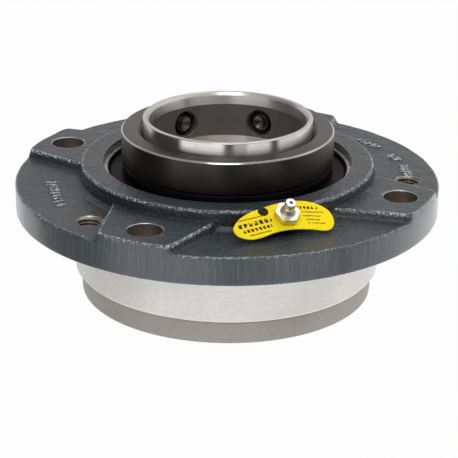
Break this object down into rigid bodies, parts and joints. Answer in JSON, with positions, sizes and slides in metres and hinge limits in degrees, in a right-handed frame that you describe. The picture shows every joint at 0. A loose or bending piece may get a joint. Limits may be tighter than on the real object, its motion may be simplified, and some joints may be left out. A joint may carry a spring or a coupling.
{
  "type": "flange mount bearing",
  "caption": "Piloted round flange bearing unit with raised bolt pads, spherical roller bearing, locking collar with set screws and inclined grease fitting.",
  "frame": {"origin": "on the shaft axis in the plane of the skirt's lower end, the centre of the bounding box's bottom", "axes": "+Z along the shaft axis towards the locking collar, the shortest extent; -Y towards the grease fitting"},
  "size_m": [0.278, 0.278, 0.1175],
  "materials": {
    "painted_cast_iron": "slate green-grey enamel over rough cast iron",
    "bearing_steel": "hardened and ground",
    "ground_steel": "fine turned, ground bore",
    "black_oxide": "oiled black oxide",
    "cage_brass": "machined",
    "seal_case": "pressed sheet, gloss black",
    "seal_rubber": "moulded nitrile",
    "spring_steel": "stamped, phosphated",
    "zinc_plate": "bright zinc plate",
    "tag_paint": "yellow enamel on thin aluminium"
  },
  "bodies": {
    "housing": {"housing": "painted_cast_iron", "outer_race": "bearing_steel", "anti_rotation_pin": "bearing_steel", "front_seal_case": "seal_case", "rear_seal_case": "seal_case", "front_snap_ring": "spring_steel", "rear_snap_ring": "spring_steel", "grease_fitting": "zinc_plate", "fitting_spring": "spring_steel", "name_tag": "tag_paint"},
    "alignment": {"front_seal_lip": "seal_rubber", "rear_seal_lip": "seal_rubber"},
    "shaft_assembly": {"inner_ring": "ground_steel", "locking_collar": "black_oxide", "flinger": "seal_case"},
    "cage": {"cage": "cage_brass", "guide_ring": "bearing_steel"},
    "set_screw_a": {"set_screw_a": "black_oxide"},
    "set_screw_b": {"set_screw_b": "black_oxide"},
    "check_ball": {"fitting_check_ball": "bearing_steel"},
    "roller_front_01": {"roller_front_01": "bearing_steel"},
    "roller_front_02": {"roller_front_02": "bearing_steel"},
    "roller_front_03": {"roller_front_03": "bearing_steel"},
    "roller_front_04": {"roller_front_04": "bearing_steel"},
    "roller_front_05": {"roller_front_05": "bearing_steel"},
    "roller_front_06": {"roller_front_06": "bearing_steel"},
    "roller_front_07": {"roller_front_07": "bearing_steel"},
    "roller_front_08": {"roller_front_08": "bearing_steel"},
    "roller_front_09": {"roller_front_09": "bearing_steel"},
    "roller_front_10": {"roller_front_10": "bearing_steel"},
    "roller_front_11": {"roller_front_11": "bearing_steel"},
    "roller_front_12": {"roller_front_12": "bearing_steel"},
    "roller_front_13": {"roller_front_13": "bearing_steel"},
    "roller_front_14": {"roller_front_14": "bearing_steel"},
    "roller_front_15": {"roller_front_15": "bearing_steel"},
    "roller_front_16": {"roller_front_16": "bearing_steel"},
    "roller_rear_01": {"roller_rear_01": "bearing_steel"},
    "roller_rear_02": {"roller_rear_02": "bearing_steel"},
    "roller_rear_03": {"roller_rear_03": "bearing_steel"},
    "roller_rear_04": {"roller_rear_04": "bearing_steel"},
    "roller_rear_05": {"roller_rear_05": "bearing_steel"},
    "roller_rear_06": {"roller_rear_06": "bearing_steel"},
    "roller_rear_07": {"roller_rear_07": "bearing_steel"},
    "roller_rear_08": {"roller_rear_08": "bearing_steel"},
    "roller_rear_09": {"roller_rear_09": "bearing_steel"},
    "roller_rear_10": {"roller_rear_10": "bearing_steel"},
    "roller_rear_11": {"roller_rear_11": "bearing_steel"},
    "roller_rear_12": {"roller_rear_12": "bearing_steel"},
    "roller_rear_13": {"roller_rear_13": "bearing_steel"},
    "roller_rear_14": {"roller_rear_14": "bearing_steel"},
    "roller_rear_15": {"roller_rear_15": "bearing_steel"},
    "roller_rear_16": {"roller_rear_16": "bearing_steel"}
  },
  "joints": [
    {"name": "misalignment", "type": "hinge", "parent": "housing", "child": "alignment", "pos_m": [0, 0, 0.053], "axis": [1, 0, 0], "range_deg": [-1, 1]},
    {"name": "shaft_spin", "type": "hinge", "parent": "alignment", "child": "shaft_assembly", "pos_m": [0, 0, 0.053], "axis": [0, 0, 1], "continuous": true},
    {"name": "cage_spin", "type": "hinge", "parent": "alignment", "child": "cage", "pos_m": [0, 0, 0.053], "axis": [0, 0, 1], "continuous": true},
    {"name": "roller_front_01_spin", "type": "hinge", "parent": "cage", "child": "roller_front_01", "pos_m": [0.06814, 0, 0.06563], "axis": [-0.1822, 0, 0.9833], "continuous": true},
    {"name": "roller_front_02_spin", "type": "hinge", "parent": "cage", "child": "roller_front_02", "pos_m": [0.06295, 0.02608, 0.06563], "axis": [-0.1684, -0.0697, 0.9833], "continuous": true},
    {"name": "roller_front_03_spin", "type": "hinge", "parent": "cage", "child": "roller_front_03", "pos_m": [0.04818, 0.04818, 0.06563], "axis": [-0.1289, -0.1289, 0.9833], "continuous": true},
    {"name": "roller_front_04_spin", "type": "hinge", "parent": "cage", "child": "roller_front_04", "pos_m": [0.02608, 0.06295, 0.06563], "axis": [-0.0697, -0.1684, 0.9833], "continuous": true},
    {"name": "roller_front_05_spin", "type": "hinge", "parent": "cage", "child": "roller_front_05", "pos_m": [0, 0.06814, 0.06563], "axis": [0, -0.1822, 0.9833], "continuous": true},
    {"name": "roller_front_06_spin", "type": "hinge", "parent": "cage", "child": "roller_front_06", "pos_m": [-0.02608, 0.06295, 0.06563], "axis": [0.0697, -0.1684, 0.9833], "continuous": true},
    {"name": "roller_front_07_spin", "type": "hinge", "parent": "cage", "child": "roller_front_07", "pos_m": [-0.04818, 0.04818, 0.06563], "axis": [0.1289, -0.1289, 0.9833], "continuous": true},
    {"name": "roller_front_08_spin", "type": "hinge", "parent": "cage", "child": "roller_front_08", "pos_m": [-0.06295, 0.02608, 0.06563], "axis": [0.1684, -0.0697, 0.9833], "continuous": true},
    {"name": "roller_front_09_spin", "type": "hinge", "parent": "cage", "child": "roller_front_09", "pos_m": [-0.06814, 0, 0.06563], "axis": [0.1822, 0, 0.9833], "continuous": true},
    {"name": "roller_front_10_spin", "type": "hinge", "parent": "cage", "child": "roller_front_10", "pos_m": [-0.06295, -0.02608, 0.06563], "axis": [0.1684, 0.0697, 0.9833], "continuous": true},
    {"name": "roller_front_11_spin", "type": "hinge", "parent": "cage", "child": "roller_front_11", "pos_m": [-0.04818, -0.04818, 0.06563], "axis": [0.1289, 0.1289, 0.9833], "continuous": true},
    {"name": "roller_front_12_spin", "type": "hinge", "parent": "cage", "child": "roller_front_12", "pos_m": [-0.02608, -0.06295, 0.06563], "axis": [0.0697, 0.1684, 0.9833], "continuous": true},
    {"name": "roller_front_13_spin", "type": "hinge", "parent": "cage", "child": "roller_front_13", "pos_m": [0, -0.06814, 0.06563], "axis": [0, 0.1822, 0.9833], "continuous": true},
    {"name": "roller_front_14_spin", "type": "hinge", "parent": "cage", "child": "roller_front_14", "pos_m": [0.02608, -0.06295, 0.06563], "axis": [-0.0697, 0.1684, 0.9833], "continuous": true},
    {"name": "roller_front_15_spin", "type": "hinge", "parent": "cage", "child": "roller_front_15", "pos_m": [0.04818, -0.04818, 0.06563], "axis": [-0.1289, 0.1289, 0.9833], "continuous": true},
    {"name": "roller_front_16_spin", "type": "hinge", "parent": "cage", "child": "roller_front_16", "pos_m": [0.06295, -0.02608, 0.06563], "axis": [-0.1684, 0.0697, 0.9833], "continuous": true},
    {"name": "roller_rear_01_spin", "type": "hinge", "parent": "cage", "child": "roller_rear_01", "pos_m": [0.06683, 0.01329, 0.04037], "axis": [0.1787, 0.0356, 0.9833], "continuous": true},
    {"name": "roller_rear_02_spin", "type": "hinge", "parent": "cage", "child": "roller_rear_02", "pos_m": [0.05666, 0.03786, 0.04037], "axis": [0.1515, 0.1012, 0.9833], "continuous": true},
    {"name": "roller_rear_03_spin", "type": "hinge", "parent": "cage", "child": "roller_rear_03", "pos_m": [0.03786, 0.05666, 0.04037], "axis": [0.1012, 0.1515, 0.9833], "continuous": true},
    {"name": "roller_rear_04_spin", "type": "hinge", "parent": "cage", "child": "roller_rear_04", "pos_m": [0.01329, 0.06683, 0.04037], "axis": [0.0356, 0.1787, 0.9833], "continuous": true},
    {"name": "roller_rear_05_spin", "type": "hinge", "parent": "cage", "child": "roller_rear_05", "pos_m": [-0.01329, 0.06683, 0.04037], "axis": [-0.0356, 0.1787, 0.9833], "continuous": true},
    {"name": "roller_rear_06_spin", "type": "hinge", "parent": "cage", "child": "roller_rear_06", "pos_m": [-0.03786, 0.05666, 0.04037], "axis": [-0.1012, 0.1515, 0.9833], "continuous": true},
    {"name": "roller_rear_07_spin", "type": "hinge", "parent": "cage", "child": "roller_rear_07", "pos_m": [-0.05666, 0.03786, 0.04037], "axis": [-0.1515, 0.1012, 0.9833], "continuous": true},
    {"name": "roller_rear_08_spin", "type": "hinge", "parent": "cage", "child": "roller_rear_08", "pos_m": [-0.06683, 0.01329, 0.04037], "axis": [-0.1787, 0.0356, 0.9833], "continuous": true},
    {"name": "roller_rear_09_spin", "type": "hinge", "parent": "cage", "child": "roller_rear_09", "pos_m": [-0.06683, -0.01329, 0.04037], "axis": [-0.1787, -0.0356, 0.9833], "continuous": true},
    {"name": "roller_rear_10_spin", "type": "hinge", "parent": "cage", "child": "roller_rear_10", "pos_m": [-0.05666, -0.03786, 0.04037], "axis": [-0.1515, -0.1012, 0.9833], "continuous": true},
    {"name": "roller_rear_11_spin", "type": "hinge", "parent": "cage", "child": "roller_rear_11", "pos_m": [-0.03786, -0.05666, 0.04037], "axis": [-0.1012, -0.1515, 0.9833], "continuous": true},
    {"name": "roller_rear_12_spin", "type": "hinge", "parent": "cage", "child": "roller_rear_12", "pos_m": [-0.01329, -0.06683, 0.04037], "axis": [-0.0356, -0.1787, 0.9833], "continuous": true},
    {"name": "roller_rear_13_spin", "type": "hinge", "parent": "cage", "child": "roller_rear_13", "pos_m": [0.01329, -0.06683, 0.04037], "axis": [0.0356, -0.1787, 0.9833], "continuous": true},
    {"name": "roller_rear_14_spin", "type": "hinge", "parent": "cage", "child": "roller_rear_14", "pos_m": [0.03786, -0.05666, 0.04037], "axis": [0.1012, -0.1515, 0.9833], "continuous": true},
    {"name": "roller_rear_15_spin", "type": "hinge", "parent": "cage", "child": "roller_rear_15", "pos_m": [0.05666, -0.03786, 0.04037], "axis": [0.1515, -0.1012, 0.9833], "continuous": true},
    {"name": "roller_rear_16_spin", "type": "hinge", "parent": "cage", "child": "roller_rear_16", "pos_m": [0.06683, -0.01329, 0.04037], "axis": [0.1787, -0.0356, 0.9833], "continuous": true},
    {"name": "set_screw_a_travel", "type": "slide", "parent": "shaft_assembly", "child": "set_screw_a", "axis": [-0.7218, -0.6921, 0], "range_m": [-0.0025, 0.0017]},
    {"name": "set_screw_b_travel", "type": "slide", "parent": "shaft_assembly", "child": "set_screw_b", "axis": [0.2368, -0.9715, 0], "range_m": [-0.0025, 0.0017]},
    {"name": "check_ball_lift", "type": "slide", "parent": "housing", "child": "check_ball", "axis": [0, 0.5299, -0.848], "range_m": [0, 0.0009], "stiffness_N_per_m": 400, "springref_m": -0.001, "deforming": ["fitting_spring"]}
  ],
  "couplings": [
    {"joint": "cage_spin", "follows": "shaft_spin", "ratio": 0.4242},
    {"joint": "roller_front_01_spin", "follows": "shaft_spin", "ratio": -3.1703},
    {"joint": "roller_front_02_spin", "follows": "shaft_spin", "ratio": -3.1703},
    {"joint": "roller_front_03_spin", "follows": "shaft_spin", "ratio": -3.1703},
    {"joint": "roller_front_04_spin", "follows": "shaft_spin", "ratio": -3.1703},
    {"joint": "roller_front_05_spin", "follows": "shaft_spin", "ratio": -3.1703},
    {"joint": "roller_front_06_spin", "follows": "shaft_spin", "ratio": -3.1703},
    {"joint": "roller_front_07_spin", "follows": "shaft_spin", "ratio": -3.1703},
    {"joint": "roller_front_08_spin", "follows": "shaft_spin", "ratio": -3.1703},
    {"joint": "roller_front_09_spin", "follows": "shaft_spin", "ratio": -3.1703},
    {"joint": "roller_front_10_spin", "follows": "shaft_spin", "ratio": -3.1703},
    {"joint": "roller_front_11_spin", "follows": "shaft_spin", "ratio": -3.1703},
    {"joint": "roller_front_12_spin", "follows": "shaft_spin", "ratio": -3.1703},
    {"joint": "roller_front_13_spin", "follows": "shaft_spin", "ratio": -3.1703},
    {"joint": "roller_front_14_spin", "follows": "shaft_spin", "ratio": -3.1703},
    {"joint": "roller_front_15_spin", "follows": "shaft_spin", "ratio": -3.1703},
    {"joint": "roller_front_16_spin", "follows": "shaft_spin", "ratio": -3.1703},
    {"joint": "roller_rear_01_spin", "follows": "shaft_spin", "ratio": -3.1703},
    {"joint": "roller_rear_02_spin", "follows": "shaft_spin", "ratio": -3.1703},
    {"joint": "roller_rear_03_spin", "follows": "shaft_spin", "ratio": -3.1703},
    {"joint": "roller_rear_04_spin", "follows": "shaft_spin", "ratio": -3.1703},
    {"joint": "roller_rear_05_spin", "follows": "shaft_spin", "ratio": -3.1703},
    {"joint": "roller_rear_06_spin", "follows": "shaft_spin", "ratio": -3.1703},
    {"joint": "roller_rear_07_spin", "follows": "shaft_spin", "ratio": -3.1703},
    {"joint": "roller_rear_08_spin", "follows": "shaft_spin", "ratio": -3.1703},
    {"joint": "roller_rear_09_spin", "follows": "shaft_spin", "ratio": -3.1703},
    {"joint": "roller_rear_10_spin", "follows": "shaft_spin", "ratio": -3.1703},
    {"joint": "roller_rear_11_spin", "follows": "shaft_spin", "ratio": -3.1703},
    {"joint": "roller_rear_12_spin", "follows": "shaft_spin", "ratio": -3.1703},
    {"joint": "roller_rear_13_spin", "follows": "shaft_spin", "ratio": -3.1703},
    {"joint": "roller_rear_14_spin", "follows": "shaft_spin", "ratio": -3.1703},
    {"joint": "roller_rear_15_spin", "follows": "shaft_spin", "ratio": -3.1703},
    {"joint": "roller_rear_16_spin", "follows": "shaft_spin", "ratio": -3.1703}
  ]
}
